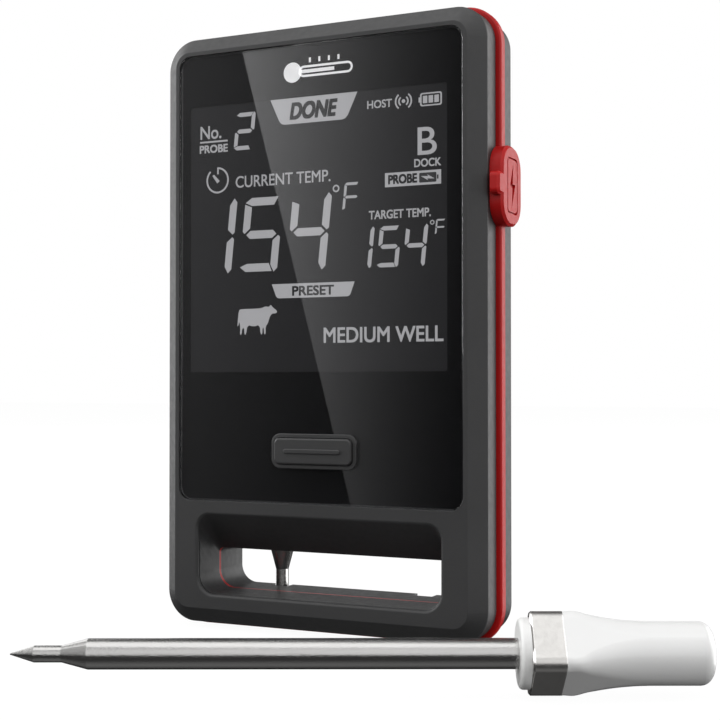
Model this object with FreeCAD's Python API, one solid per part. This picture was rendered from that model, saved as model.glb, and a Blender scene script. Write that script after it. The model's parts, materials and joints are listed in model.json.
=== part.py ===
import FreeCAD, Part
import math
import os
from FreeCAD import Rotation, Vector

# Wireless meat thermometer: a display dock that stands on its lower edge, one probe
# in its left rear dock and one probe lying in front of it. Millimetres.
# X to the right of the display, Y to the rear, Z up. The origin is on the surface the
# dock stands on, under the middle of its seal band.

# ---- driving dimensions of the dock ----
BODY_W = 80.6
BODY_H = 136.8
BODY_T = 20.3
CORNER_R = 7.2
BEVEL_W = 3.6
BEVEL_D = 2.9
EDGE_R = 0.35
WALL = 2.2
FRONT_WALL = 2.7
REAR_WALL = 1.6

BEAD_OUT = 1.2
BEAD_START = 8.05
BEAD_WIDE = 2.7
BEAD_IN = 1.5
SEAL_START = 9.65
SEAL_THICK = 0.7
SEAM_GAP = 0.35

WINDOW_HALF_W = 35.75
WINDOW_Z0 = 29.7
WINDOW_Z1 = 133.5
WINDOW_R = 3.0
WINDOW_T = 1.2
WINDOW_GAP = 0.12
GASKET_T = 0.25
RECESS_D = 1.6

LCD_X = -0.7
LCD_Z = 90.5
LCD_VIEW_W = 65.0
LCD_VIEW_H = 62.0
LCD_GLASS_W = 67.4
LCD_GLASS_H = 66.0
LCD_T = 1.9
GUIDE_T = 1.2
LCD_FRAME_EDGE = 1.2
RIBBON_HALF_W = 11.0
RIBBON_T = 0.2

SLOT_HALF_W = 30.5
SLOT_FLOOR = 8.2
SLOT_REAR_FLOOR = 8.5
SLOT_RIM_TOP = 26.85
SLOT_CEILING = 17.9
SLOT_R = 4.2
SLOT_RIM_TOP_R = 3.2
SLOT_TOP_R = 1.2
SLOT_LIP_R = 0.7
LIP_GROOVE_D = 0.75
LIP_GROOVE_W = 0.4
LIP_GROOVE_DEEP = 0.3
LIP_GROOVE_TOP = 23.5
CAVITY_Z0 = 30.0

BUTTON_Z = 41.7
BEZEL_W = 21.3
BEZEL_H = 7.85
BEZEL_R = 2.1
BEZEL_PROUD = 0.35
CAP_W = 19.4
CAP_H = 5.85
CAP_R = 1.3
CAP_PROUD = 1.1
CAP_EDGE_R = 0.45
BAR_W = 14.2
BAR_H = 1.1
BAR_PROUD = 0.35
PRESS = 0.5

BOARD_D = 6.9
BOARD_T = 1.1
BOARD_HALF_W = 34.0
BOARD_Z0 = 48.5
BOARD_Z1 = 126.0
BOARD_FOOT_HALF_W = 22.0
BOARD_FOOT_Z0 = 32.0
BOARD_HEAD_HALF_W = 28.0
BOARD_HEAD_Z1 = 132.5
BOARD_SCREWS = ((-30.0, 52.0), (30.0, 52.0), (-24.0, 129.6), (24.0, 129.6))
BOARD_SCREW_R = 0.8
BOARD_SCREW_LEN = 3.5

SHIELD_X = -24.0
SHIELD_Z = 84.0
SHIELD_W = 17.0
SHIELD_H = 15.0
SHIELD_T = 2.0
BUZZER_Z = 118.0
BUZZER_R = 6.2
BUZZER_T = 3.2
CELL_Z = 67.0
CELL_W = 30.0
CELL_H = 44.0
CELL_T = 5.7
CELL_PAD_T = 0.9

DOCK_X = 18.75
DOCK_D = 19.35
POCKET_HALF = 6.9
POCKET_BACK_D = 12.6
CHANNEL_R = 3.1
DOCK_WALL = 1.2
NOTCH_W = 4.8
NOTCH_FRONT_D = 17.45
NOTCH_Z0 = 2.6

BLOCK_HALF_W = 11.4
BLOCK_Z0 = 42.0
BLOCK_Z1 = 129.0
BLOCK_REAR_D = 25.25
BLOCK_WALL = 1.6
MAGNET_R = 9.0
MAGNET_T = 3.0
MAGNET_ZS = (62.0, 109.0)
YOKE_T = 0.8
PAD_HALF_W = 8.8
PAD_Z0 = 47.5
PAD_Z1 = 123.5
PAD_R = 3.0
PAD_T = 0.9
PAD_SUNK = 0.5
PIN_R = 0.5
PIN_BODY_R = 0.9
DOCK_MAGNET_R = 3.0
DOCK_MAGNET_T = 2.0

PORT_Z = 99.5
COVER_MID_D = 9.7
COVER_DEEP = 11.9
COVER_TALL = 17.4
COVER_T = 3.1
TAB_FRONT_D = 1.45
TAB_TALL = 4.85
TAB_T = 2.1
PLUG_DEEP = 3.24
PLUG_TALL = 8.94
PLUG_WALL = 0.3

SCREW_X = 33.4
SCREW_ZS = (34.0, 130.3)
SCREW_R = 0.85
SCREW_HEAD_R = 1.9
SCREW_LEN = 11.0
SCREW_SEAT = 2.6
SCREW_CLEAR_R = 1.15
BOSS_R = 2.6
BOARD_BOSS_R = 2.0

# ---- driving dimensions of a probe, along its axis from the point ----
TIP_CONE = 4.39
NECK_END = 9.40
TIP_END = 14.20
TUBE_END = 92.3
RING_END = 94.2
COLLAR_END = 100.2
PROBE_LEN = 127.5
POINT_R = 0.15
NECK_R = 1.53
TUBE_R = 2.8
TUBE_BORE_R = 2.3
RING_R = 6.45
COLLAR_HALF = 6.05
COLLAR_R = 1.9
GRIP_START = 2.4
GRIP_EASE = 14.0
GRIP_R = 5.75
GRIP_END_ROUND = 2.3
STEM_IN_COLLAR = 3.0
HANDLE_BORE_R = 3.9

DOCKED_TIP_Z = 2.95
LOOSE_TIP = Vector(-23.15, -83.35, 7.76)
LOOSE_YAW = 26.3
LOOSE_ROLL = 49.9

FRONT = -BEAD_START - BEAD_WIDE / 2
REAR = FRONT + BODY_T
HALF_W = BODY_W / 2
BASE_Z = BEAD_OUT
TOP_Z = BASE_Z + BODY_H
SEAL_FRONT_Y = FRONT + SEAL_START
SEAL_REAR_Y = SEAL_FRONT_Y + SEAL_THICK
BEAD_FRONT_Y = FRONT + BEAD_START
BEAD_REAR_Y = BEAD_FRONT_Y + BEAD_WIDE
BOARD_FRONT_Y = FRONT + BOARD_D
BOARD_REAR_Y = BOARD_FRONT_Y + BOARD_T
WINDOW_Y = FRONT + 0.1
GASKET_Y = WINDOW_Y + WINDOW_T
LCD_Y = FRONT + RECESS_D
GUIDE_Y = LCD_Y + LCD_T
FRAME_Y = FRONT + FRONT_WALL + 0.1
DOCK_Y = FRONT + DOCK_D
POCKET_BACK_Y = FRONT + POCKET_BACK_D
NOTCH_FRONT_Y = FRONT + NOTCH_FRONT_D
POCKET_Z0 = DOCKED_TIP_Z + TUBE_END - 0.8
POCKET_Z1 = DOCKED_TIP_Z + PROBE_LEN + 0.6
BLOCK_REAR_Y = FRONT + BLOCK_REAR_D
COVER_Y = FRONT + COVER_MID_D
TAB_FRONT_Y = FRONT + TAB_FRONT_D

os.makedirs("parts", exist_ok=True)


def save(shape, name):
    shape.exportStep("parts/" + name + ".step")


def box(x0, x1, y0, y1, z0, z1):
    return Part.makeBox(x1 - x0, y1 - y0, z1 - z0, Vector(x0, y0, z0))


def rounded_wire(x0, x1, z0, z1, radius, y, top_radius=None):
    """Rounded rectangle standing in the plane at y, its upper corners perhaps tighter."""
    top = radius if top_radius is None else top_radius
    slant = radius * (1 - math.sqrt(0.5))
    top_slant = top * (1 - math.sqrt(0.5))
    lines = (
        ((x0 + radius, z0), (x1 - radius, z0)),
        ((x1, z0 + radius), (x1, z1 - top)),
        ((x1 - top, z1), (x0 + top, z1)),
        ((x0, z1 - top), (x0, z0 + radius)),
    )
    corners = ((x1 - slant, z0 + slant), (x1 - top_slant, z1 - top_slant),
               (x0 + top_slant, z1 - top_slant), (x0 + slant, z0 + slant))
    edges = []
    for index, (start, end) in enumerate(lines):
        turn = corners[index]
        leave = lines[(index + 1) % 4][0]
        edges.append(Part.makeLine(Vector(start[0], y, start[1]), Vector(end[0], y, end[1])))
        arc = Part.Arc(Vector(end[0], y, end[1]), Vector(turn[0], y, turn[1]),
                       Vector(leave[0], y, leave[1]))
        edges.append(arc.toShape())
    return Part.Wire(edges)


def plate(x0, x1, z0, z1, radius, y0, y1):
    """Rounded rectangle extruded from y0 back to y1."""
    face = Part.Face(rounded_wire(x0, x1, z0, z1, radius, y0))
    return face.extrude(Vector(0, y1 - y0, 0))


def centred_plate(cx, cz, width, height, radius, y0, y1):
    return plate(cx - width / 2, cx + width / 2, cz - height / 2, cz + height / 2,
                 radius, y0, y1)


def cylinder_y(x, z, radius, y0, y1):
    return Part.makeCylinder(radius, y1 - y0, Vector(x, y0, z), Vector(0, 1, 0))


def cylinder_z(x, y, radius, z0, z1):
    return Part.makeCylinder(radius, z1 - z0, Vector(x, y, z0), Vector(0, 0, 1))


def edges_at_y(shape, y, keep):
    """Edges that lie wholly in the plane at y and pass the keep test."""
    found = []
    for edge in shape.Edges:
        bounds = edge.BoundBox
        flat = abs(bounds.YMin - y) < 1e-4 and abs(bounds.YMax - y) < 1e-4
        if flat and keep(bounds):
            found.append(edge)
    return found


def case_wire(inset, y):
    """Outline of the case, pulled in by inset all round."""
    return rounded_wire(-HALF_W + inset, HALF_W - inset, BASE_Z + inset, TOP_Z - inset,
                        CORNER_R - inset, y)


def case_half(face_y, seam_y):
    """One solid half of the case: bevelled at face_y, straight to seam_y."""
    inward = 1 if seam_y > face_y else -1
    bevel_y = face_y + inward * BEVEL_D
    bevel = Part.makeLoft([case_wire(BEVEL_W, face_y), case_wire(0, bevel_y)], True, True)
    side = Part.Face(case_wire(0, bevel_y)).extrude(Vector(0, seam_y - bevel_y, 0))
    half = bevel.fuse(side).removeSplitter()
    crisp = edges_at_y(half, face_y, lambda bounds: True)
    crisp += edges_at_y(half, bevel_y, lambda bounds: True)
    return half.makeFillet(EDGE_R, crisp)


def rim_step(y0, y1):
    """Ring cut from a shell's rim where the bead's root sits."""
    outer = Part.Face(case_wire(-0.5, y0)).extrude(Vector(0, y1 - y0, 0))
    inner = Part.Face(case_wire(BEAD_IN, y0)).extrude(Vector(0, y1 - y0, 0))
    return outer.cut(inner)


def cavity(y0, y1):
    """Room for the works, above the hand slot."""
    return plate(-HALF_W + WALL, HALF_W - WALL, CAVITY_Z0, TOP_Z - WALL, CORNER_R - WALL,
                 y0, y1)


def slot_front():
    """Front half of the hand slot, its ceiling falling to the rear."""
    rim_y = FRONT - 0.01
    mouth = rounded_wire(-SLOT_HALF_W, SLOT_HALF_W, SLOT_FLOOR, SLOT_RIM_TOP, SLOT_R, rim_y,
                         SLOT_RIM_TOP_R)
    return Part.makeLoft([mouth, slot_throat(SEAL_FRONT_Y)], True, True)


def slot_throat(y):
    return rounded_wire(-SLOT_HALF_W, SLOT_HALF_W, SLOT_REAR_FLOOR, SLOT_CEILING, SLOT_R, y,
                        SLOT_TOP_R)


def slot_rear(y0, y1):
    return Part.Face(slot_throat(y0)).extrude(Vector(0, y1 - y0, 0))


def lip_groove():
    """Fine groove in the slot's walls and floor, just behind its front lip."""
    deep = LIP_GROOVE_DEEP
    y0 = FRONT + LIP_GROOVE_D
    return plate(-SLOT_HALF_W - deep, SLOT_HALF_W + deep, SLOT_FLOOR - deep, LIP_GROOVE_TOP,
                 SLOT_R + deep, y0, y0 + LIP_GROOVE_W)


def housing_screw_places():
    return [(x, z) for x in (-SCREW_X, SCREW_X) for z in SCREW_ZS]


def port_hole():
    """Opening in the right wall for the charging plug."""
    hole = centred_plate(0, 0, 4.2, 9.6, 1.5, HALF_W - WALL - 1, HALF_W + 1)
    hole.rotate(Vector(0, 0, 0), Vector(0, 0, 1), -90)
    hole.translate(Vector(0, COVER_Y, PORT_Z))
    return hole


# ---- shells and seal ----
def front_housing():
    shell = case_half(FRONT, SEAL_FRONT_Y)
    shell = shell.cut(rim_step(BEAD_FRONT_Y - SEAM_GAP, SEAL_FRONT_Y + 0.1))
    shell = shell.cut(cavity(FRONT + FRONT_WALL, SEAL_FRONT_Y + 0.1))
    shell = shell.cut(slot_front())
    lip = edges_at_y(shell, FRONT, lambda b: b.ZMax < SLOT_RIM_TOP + 0.1
                     and b.XMax < SLOT_HALF_W + 0.1 and b.XMin > -SLOT_HALF_W - 0.1
                     and b.ZMin > SLOT_FLOOR - 0.1)
    shell = shell.makeFillet(SLOT_LIP_R, lip)
    shell = shell.cut(lip_groove())
    shell = shell.cut(plate(-WINDOW_HALF_W, WINDOW_HALF_W, WINDOW_Z0, WINDOW_Z1, WINDOW_R,
                            FRONT - 1, FRONT + RECESS_D))
    shell = shell.cut(centred_plate(LCD_X, LCD_Z, LCD_GLASS_W + 0.4, LCD_GLASS_H + 0.4, 0.8,
                                    FRONT, FRONT + FRONT_WALL + 1))
    shell = shell.cut(centred_plate(0, BUTTON_Z, BEZEL_W - 0.9, BEZEL_H - 0.9, 1.6,
                                    FRONT, FRONT + FRONT_WALL + 1))
    boss_y = FRONT + FRONT_WALL
    pilot_y = boss_y + 1.3
    posts = []
    pilots = []
    for x, z in housing_screw_places():
        posts.append(cylinder_y(x, z, BOSS_R, boss_y, SEAL_FRONT_Y))
        pilots.append(cylinder_y(x, z, SCREW_R, pilot_y, SEAL_FRONT_Y + 1))
    for x, z in BOARD_SCREWS:
        posts.append(cylinder_y(x, z, BOARD_BOSS_R, boss_y, BOARD_FRONT_Y))
        pilots.append(cylinder_y(x, z, BOARD_SCREW_R, pilot_y, BOARD_FRONT_Y + 1))
    shell = shell.fuse(posts)
    for pilot in pilots:
        shell = shell.cut(pilot)
    return shell.cut(port_hole()).removeSplitter()


def dock_solid(x):
    """Walls that stand round one dock inside the rear shell."""
    pocket = box(x - POCKET_HALF - DOCK_WALL, x + POCKET_HALF + DOCK_WALL,
                 POCKET_BACK_Y - DOCK_WALL, REAR - REAR_WALL,
                 POCKET_Z0 - DOCK_WALL - 0.2, TOP_Z - WALL)
    channel = box(x - CHANNEL_R - DOCK_WALL, x + CHANNEL_R + DOCK_WALL,
                  DOCK_Y - CHANNEL_R - DOCK_WALL, REAR - REAR_WALL,
                  CAVITY_Z0 - 0.1, POCKET_Z0 - DOCK_WALL)
    return pocket.fuse(channel)


def dock_room(x):
    """Open room of one dock: handle pocket, tube channel and tip notch."""
    pocket = box(x - POCKET_HALF, x + POCKET_HALF, POCKET_BACK_Y, REAR + 1,
                 POCKET_Z0, POCKET_Z1)
    upright = []
    for edge in pocket.Edges:
        bounds = edge.BoundBox
        if bounds.ZLength > 10 and bounds.YMax < REAR:
            upright.append(edge)
    pocket = pocket.makeFillet(1.4, upright)
    round_part = cylinder_z(x, DOCK_Y, CHANNEL_R, SLOT_CEILING - 1, POCKET_Z0 + 0.1)
    open_part = box(x - CHANNEL_R, x + CHANNEL_R, DOCK_Y, REAR + 1,
                    SLOT_CEILING - 1, POCKET_Z0 + 0.1)
    notch = box(x - NOTCH_W / 2, x + NOTCH_W / 2, NOTCH_FRONT_Y, REAR + 1,
                NOTCH_Z0, SLOT_FLOOR + 1)
    return pocket.fuse([round_part, open_part, notch])


def magnet_block():
    """Raised block between the docks that carries the holding magnets."""
    block = plate(-BLOCK_HALF_W, BLOCK_HALF_W, BLOCK_Z0, BLOCK_Z1, 2.5,
                  REAR - REAR_WALL, BLOCK_REAR_Y)
    rear_edges = edges_at_y(block, BLOCK_REAR_Y, lambda bounds: True)
    return block.makeChamfer(1.2, rear_edges)


def rear_housing():
    shell = case_half(REAR, SEAL_REAR_Y)
    shell = shell.cut(rim_step(SEAL_REAR_Y - 0.1, BEAD_REAR_Y))
    shell = shell.cut(cavity(SEAL_REAR_Y - 0.1, REAR - REAR_WALL))
    additions = [dock_solid(-DOCK_X), dock_solid(DOCK_X), magnet_block()]
    for x, z in housing_screw_places():
        additions.append(cylinder_y(x, z, BOSS_R, SEAL_REAR_Y, REAR - REAR_WALL))
    shell = shell.fuse(additions)
    shell = shell.cut(slot_rear(SEAL_REAR_Y - 1, REAR + 1))
    for x in (-DOCK_X, DOCK_X):
        shell = shell.cut(dock_room(x))
        for z in charge_pin_heights():
            shell = shell.cut(cylinder_y(x, z, PIN_BODY_R + 0.1, BOARD_REAR_Y,
                                         POCKET_BACK_Y + 0.2))
    shell = shell.cut(plate(-BLOCK_HALF_W + BLOCK_WALL, BLOCK_HALF_W - BLOCK_WALL,
                            BLOCK_Z0 + BLOCK_WALL, BLOCK_Z1 - BLOCK_WALL, 1.0,
                            SEAL_REAR_Y, BLOCK_REAR_Y - BLOCK_WALL))
    shell = shell.cut(pad_plate(BLOCK_REAR_Y - PAD_SUNK, BLOCK_REAR_Y + 1, 0.1))
    for x, z in housing_screw_places():
        shell = shell.cut(cylinder_y(x, z, SCREW_CLEAR_R, SEAL_REAR_Y - 1, REAR + 1))
        shell = shell.cut(cylinder_y(x, z, SCREW_HEAD_R + 0.2, REAR - SCREW_SEAT, REAR + 1))
    return shell.cut(port_hole()).removeSplitter()


def seal_band():
    """Gasket plate, its outer bead, its inner lip in the hand slot and two foot pads."""
    bead = Part.Face(case_wire(-BEAD_OUT, BEAD_FRONT_Y)).extrude(Vector(0, BEAD_WIDE, 0))
    soft = edges_at_y(bead, BEAD_FRONT_Y, lambda bounds: True)
    soft += edges_at_y(bead, BEAD_REAR_Y, lambda bounds: True)
    bead = bead.makeFillet(0.55, soft)
    bore = Part.Face(case_wire(BEAD_IN, BEAD_FRONT_Y - 1)).extrude(Vector(0, BEAD_WIDE + 2, 0))
    bead = bead.cut(bore)
    web = Part.Face(case_wire(BEAD_IN - 0.2, SEAL_FRONT_Y)).extrude(Vector(0, SEAL_THICK, 0))
    web = web.cut(plate(-HALF_W + WALL, HALF_W - WALL, CAVITY_Z0, TOP_Z - WALL,
                        CORNER_R - WALL, SEAL_FRONT_Y - 1, SEAL_REAR_Y + 1))
    web = web.cut(slot_rear(SEAL_FRONT_Y - 1, SEAL_REAR_Y + 1))
    pads = []
    for x in (-SCREW_X + 4, SCREW_X - 4):
        pads.append(box(x - 5, x + 5, BEAD_REAR_Y - 0.8, REAR - BEVEL_D - 0.4, 0, BASE_Z))
    band = bead.fuse([web] + pads)
    for x, z in housing_screw_places():
        band = band.cut(cylinder_y(x, z, SCREW_CLEAR_R, SEAL_FRONT_Y - 1, SEAL_REAR_Y + 1))
    return band.cut(port_hole()).removeSplitter()


# ---- window and display ----
def display_window():
    gap = WINDOW_GAP
    glass = plate(-WINDOW_HALF_W + gap, WINDOW_HALF_W - gap, WINDOW_Z0 + gap, WINDOW_Z1 - gap,
                  WINDOW_R - gap, WINDOW_Y, WINDOW_Y + WINDOW_T)
    glass = glass.makeFillet(0.2, edges_at_y(glass, WINDOW_Y, lambda bounds: True))
    return glass.cut(centred_plate(0, BUTTON_Z, BEZEL_W - 0.7, BEZEL_H - 0.7, 1.7,
                                   FRONT - 1, FRONT + 3))


def window_gasket():
    sheet = plate(-WINDOW_HALF_W + 0.5, WINDOW_HALF_W - 0.5, WINDOW_Z0 + 0.5, WINDOW_Z1 - 0.5,
                  WINDOW_R - 0.5, GASKET_Y, GASKET_Y + GASKET_T)
    sheet = sheet.cut(centred_plate(LCD_X, LCD_Z, LCD_VIEW_W, LCD_VIEW_H, 0.6,
                                    GASKET_Y - 1, GASKET_Y + 1))
    return sheet.cut(centred_plate(0, BUTTON_Z, BEZEL_W - 0.7, BEZEL_H - 0.7, 1.7,
                                   GASKET_Y - 1, GASKET_Y + 1))


def lcd_panel():
    return centred_plate(LCD_X, LCD_Z, LCD_GLASS_W, LCD_GLASS_H, 0.5, LCD_Y, GUIDE_Y)


def light_guide():
    return centred_plate(LCD_X, LCD_Z, LCD_VIEW_W, LCD_VIEW_H, 0.5, GUIDE_Y, GUIDE_Y + GUIDE_T)


def lcd_frame():
    """Tray behind the display glass, stepped for the glass, the guide and the ribbon."""
    tray = centred_plate(LCD_X, LCD_Z, LCD_GLASS_W + 2 * LCD_FRAME_EDGE,
                         LCD_GLASS_H + 2 * LCD_FRAME_EDGE, 1.2, FRAME_Y, BOARD_FRONT_Y - 0.1)
    tray = tray.cut(centred_plate(LCD_X, LCD_Z, LCD_GLASS_W + 0.2, LCD_GLASS_H + 0.2, 0.5,
                                  FRAME_Y - 1, GUIDE_Y))
    tray = tray.cut(centred_plate(LCD_X, LCD_Z, LCD_VIEW_W + 0.2, LCD_VIEW_H + 0.2, 0.5,
                                  FRAME_Y, GUIDE_Y + GUIDE_T))
    glass_z0 = LCD_Z - LCD_GLASS_H / 2
    return tray.cut(box(-RIBBON_HALF_W - 0.2, RIBBON_HALF_W + 0.2, GUIDE_Y,
                        GUIDE_Y + RIBBON_T + 0.1, glass_z0 - LCD_FRAME_EDGE - 1, glass_z0 + 1))


def lcd_ribbon():
    """Flat cable from the display glass, folded under its tray and back to the board."""
    glass_z0 = LCD_Z - LCD_GLASS_H / 2
    fold_z = glass_z0 - LCD_FRAME_EDGE - 1.0
    half = RIBBON_HALF_W
    down = box(-half, half, GUIDE_Y, GUIDE_Y + RIBBON_T, fold_z, glass_z0 + 0.8)
    back = box(-half, half, GUIDE_Y, BOARD_FRONT_Y, fold_z - RIBBON_T, fold_z)
    foot = box(-half, half, BOARD_FRONT_Y - RIBBON_T, BOARD_FRONT_Y, fold_z - 5, fold_z)
    return down.fuse([back, foot]).removeSplitter()


# ---- electronics ----
def main_board():
    board = plate(-BOARD_HALF_W, BOARD_HALF_W, BOARD_Z0, BOARD_Z1, 1.0,
                  BOARD_FRONT_Y, BOARD_REAR_Y)
    foot = plate(-BOARD_FOOT_HALF_W, BOARD_FOOT_HALF_W, BOARD_FOOT_Z0, BOARD_Z0 + 2, 1.0,
                 BOARD_FRONT_Y, BOARD_REAR_Y)
    head = plate(-BOARD_HEAD_HALF_W, BOARD_HEAD_HALF_W, BOARD_Z1 - 2, BOARD_HEAD_Z1, 1.0,
                 BOARD_FRONT_Y, BOARD_REAR_Y)
    board = board.fuse([foot, head]).removeSplitter()
    for x, z in BOARD_SCREWS:
        board = board.cut(cylinder_y(x, z, BOARD_SCREW_R + 0.3, BOARD_FRONT_Y - 1,
                                     BOARD_REAR_Y + 1))
    return board


def radio_shield():
    rear = BOARD_REAR_Y + SHIELD_T
    can = centred_plate(SHIELD_X, SHIELD_Z, SHIELD_W, SHIELD_H, 1.0, BOARD_REAR_Y, rear)
    return can.makeFillet(0.4, edges_at_y(can, rear, lambda bounds: True))


def buzzer():
    rear = BOARD_REAR_Y + BUZZER_T
    body = cylinder_y(0, BUZZER_Z, BUZZER_R, BOARD_REAR_Y, rear)
    return body.cut(cylinder_y(0, BUZZER_Z, 1.2, rear - 0.8, rear + 1))


def battery_cell():
    front = BOARD_REAR_Y + CELL_PAD_T
    rear = front + CELL_T
    cell = centred_plate(0, CELL_Z, CELL_W, CELL_H, 2.0, front, rear)
    return cell.makeFillet(1.2, edges_at_y(cell, rear, lambda bounds: True))


def battery_pad():
    return centred_plate(0, CELL_Z, CELL_W - 6, CELL_H - 6, 1.0, BOARD_REAR_Y,
                         BOARD_REAR_Y + CELL_PAD_T)


def charge_pin_heights():
    middle = DOCKED_TIP_Z + (RING_END + COLLAR_END) / 2
    return (middle - 1.6, middle + 1.6)


def charge_pins():
    """Sprung pins from the board through each pocket wall to the docked collar."""
    pins = []
    for x in (-DOCK_X, DOCK_X):
        for z in charge_pin_heights():
            body = cylinder_y(x, z, PIN_BODY_R, BOARD_REAR_Y, POCKET_BACK_Y - 0.3)
            plunger = cylinder_y(x, z, PIN_R, POCKET_BACK_Y - 0.4, DOCK_Y - COLLAR_HALF - 0.05)
            pins.append(body.fuse(plunger).removeSplitter())
    return Part.makeCompound(pins)


def dock_magnets():
    rear = POCKET_BACK_Y - DOCK_WALL
    z = DOCKED_TIP_Z + COLLAR_END + 6
    discs = []
    for x in (-DOCK_X, DOCK_X):
        discs.append(cylinder_y(x, z, DOCK_MAGNET_R, rear - DOCK_MAGNET_T, rear))
    return Part.makeCompound(discs)


def holding_magnets():
    rear = BLOCK_REAR_Y - BLOCK_WALL
    discs = []
    for z in MAGNET_ZS:
        discs.append(cylinder_y(0, z, MAGNET_R, rear - MAGNET_T, rear))
    return Part.makeCompound(discs)


def magnet_yoke():
    rear = BLOCK_REAR_Y - BLOCK_WALL - MAGNET_T
    half = MAGNET_R + 0.6
    return plate(-half, half, MAGNET_ZS[0] - MAGNET_R - 3, MAGNET_ZS[1] + MAGNET_R + 3, 1.5,
                 rear - YOKE_T, rear)


def pad_plate(y0, y1, grow=0.0):
    return plate(-PAD_HALF_W - grow, PAD_HALF_W + grow, PAD_Z0 - grow, PAD_Z1 + grow,
                 PAD_R + grow, y0, y1)


def grip_pad():
    rear = BLOCK_REAR_Y - PAD_SUNK + PAD_T
    pad = pad_plate(BLOCK_REAR_Y - PAD_SUNK, rear)
    return pad.makeFillet(0.3, edges_at_y(pad, rear, lambda bounds: True))


# ---- button ----
def button_bezel():
    face_y = WINDOW_Y - BEZEL_PROUD
    flange = centred_plate(0, BUTTON_Z, BEZEL_W, BEZEL_H, BEZEL_R, face_y, WINDOW_Y)
    flange = flange.makeFillet(0.2, edges_at_y(flange, face_y, lambda bounds: True))
    sleeve = centred_plate(0, BUTTON_Z, BEZEL_W - 1.0, BEZEL_H - 1.0, 1.6, WINDOW_Y,
                           FRONT + FRONT_WALL)
    bezel = flange.fuse(sleeve).removeSplitter()
    return bezel.cut(centred_plate(0, BUTTON_Z, CAP_W + 0.3, CAP_H + 0.3, CAP_R + 0.15,
                                   FRONT - 3, FRONT + 5))


def button_cap():
    face_y = WINDOW_Y - CAP_PROUD
    cap = centred_plate(0, BUTTON_Z, CAP_W, CAP_H, CAP_R, face_y, FRONT + 2.6)
    cap = cap.makeFillet(CAP_EDGE_R, edges_at_y(cap, face_y, lambda bounds: True))
    bar = centred_plate(0, BUTTON_Z, BAR_W, BAR_H, 0.5, face_y - BAR_PROUD, face_y + 0.2)
    bar = bar.makeFillet(0.25, edges_at_y(bar, face_y - BAR_PROUD, lambda bounds: True))
    return cap.fuse(bar).removeSplitter()


def switch_plunger():
    return cylinder_y(0, BUTTON_Z, 1.6, FRONT + 2.6, FRONT + 4.6)


def button_switch():
    body = centred_plate(0, BUTTON_Z, 6.2, 6.2, 0.4, FRONT + 3.7, BOARD_FRONT_Y)
    return body.cut(cylinder_y(0, BUTTON_Z, 1.7, FRONT + 3, FRONT + 4.6 + PRESS + 0.2))


# ---- charging port ----
def side_plate(cy, cz, depth, height, radius, x0, x1):
    """Rounded rectangle in the side wall's plane, extruded along X."""
    slab = centred_plate(0, 0, depth, height, radius, 0, x1 - x0)
    slab.rotate(Vector(0, 0, 0), Vector(0, 0, 1), -90)
    slab.translate(Vector(x0, cy, cz))
    return slab


def usb_socket():
    """Plug shell lying on the rear of the board, mouth at the right wall."""
    x0 = HALF_W - 8.0
    x1 = HALF_W - 0.4
    centre_y = BOARD_REAR_Y + PLUG_DEEP / 2
    shell = side_plate(centre_y, PORT_Z, PLUG_DEEP, PLUG_TALL, 1.5, x0, x1)
    shell = shell.cut(side_plate(centre_y, PORT_Z, PLUG_DEEP - 2 * PLUG_WALL,
                                 PLUG_TALL - 2 * PLUG_WALL, 1.5 - PLUG_WALL, x0 + 0.8, x1 + 1))
    tongue = side_plate(centre_y, PORT_Z, 0.7, 6.6, 0.3, x0 + 0.4, x1 - 1.7)
    return shell.fuse(tongue).removeSplitter()


def bolt_prism(x0, x1):
    """Lightning mark, cut into the cover's face."""
    centre_y = COVER_Y + 0.1
    corners = ((0.6, 5.1), (-1.7, -0.4), (-0.1, -0.4), (-0.6, -5.1), (1.7, 0.4), (0.1, 0.4))
    points = []
    for across, up in corners:
        points.append(Vector(x0, centre_y + across, PORT_Z + up))
    points.append(points[0])
    return Part.Face(Part.makePolygon(points)).extrude(Vector(x1 - x0, 0, 0))


def port_cover():
    x0 = HALF_W + 0.1
    x1 = HALF_W + COVER_T
    body = side_plate(COVER_Y, PORT_Z, COVER_DEEP, COVER_TALL, 5.2, x0, x1)
    tab = side_plate((TAB_FRONT_Y + COVER_Y) / 2, PORT_Z, COVER_Y - TAB_FRONT_Y, TAB_TALL, 1.2,
                     x1 - TAB_T, x1)
    cover = body.fuse(tab).removeSplitter()
    face_edges = []
    for edge in cover.Edges:
        bounds = edge.BoundBox
        if bounds.XMin > x1 - 1e-4:
            face_edges.append(edge)
    cover = cover.makeChamfer(0.55, face_edges)
    outer = side_plate(COVER_Y + 0.1, PORT_Z, 6.5, 12.2, 1.1, x1 - 0.5, x1 + 1)
    inner = side_plate(COVER_Y + 0.1, PORT_Z, 5.6, 11.3, 0.9, x1 - 1, x1 + 1)
    cover = cover.cut(outer.cut(inner))
    cover = cover.cut(bolt_prism(x1 - 0.5, x1 + 1))
    bead_room = box(x0 - 1, HALF_W + BEAD_OUT + 0.1, BEAD_FRONT_Y - 0.1, BEAD_REAR_Y + 0.1,
                    PORT_Z - COVER_TALL, PORT_Z + COVER_TALL)
    return cover.cut(bead_room)


# ---- fasteners ----
def screw(x, z, seat_y, length, head_r, thread_r):
    """Pan head screw driven to the front, with a cross recess in its head."""
    head_y = seat_y + 1.1
    shank = cylinder_y(x, z, thread_r, seat_y - length, seat_y)
    solid = shank.fuse(cylinder_y(x, z, head_r, seat_y, head_y))
    arm = head_r * 0.6
    for wide, tall in ((arm, 0.25), (0.25, arm)):
        solid = solid.cut(box(x - wide, x + wide, head_y - 0.6, head_y, z - tall, z + tall))
    return solid.removeSplitter()


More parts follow.
